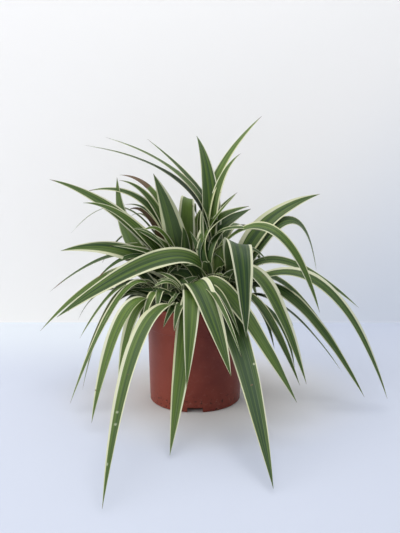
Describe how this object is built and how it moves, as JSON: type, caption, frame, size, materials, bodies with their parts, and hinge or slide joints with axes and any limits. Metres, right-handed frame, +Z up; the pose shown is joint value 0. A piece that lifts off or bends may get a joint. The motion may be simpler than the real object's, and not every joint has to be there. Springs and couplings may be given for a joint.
{
  "type": "potted spider plant",
  "caption": "Variegated spider plant with long arching cream-edged leaves in a round tapered plastic pot with a rim band and foot notches.",
  "frame": {"origin": "middle of the pot's flat base, on the surface that the pot stands on", "axes": "+Z up along the pot's axis, -Y towards the side shown in the picture, +X to the right there"},
  "size_m": [0.4143, 0.4638, 0.3376],
  "materials": {
    "pot_plastic": "satin terracotta-coloured plastic",
    "soil": "dark crumbly potting mix",
    "leaf": "satin green leaf with cream margins"
  },
  "bodies": {
    "root": {"pot": "pot_plastic", "soil": "soil", "plantlet_middle": "leaf", "plantlet_right": "leaf", "plantlet_front": "leaf", "plantlet_left": "leaf", "plantlet_back": "leaf"}
  },
  "joints": []
}
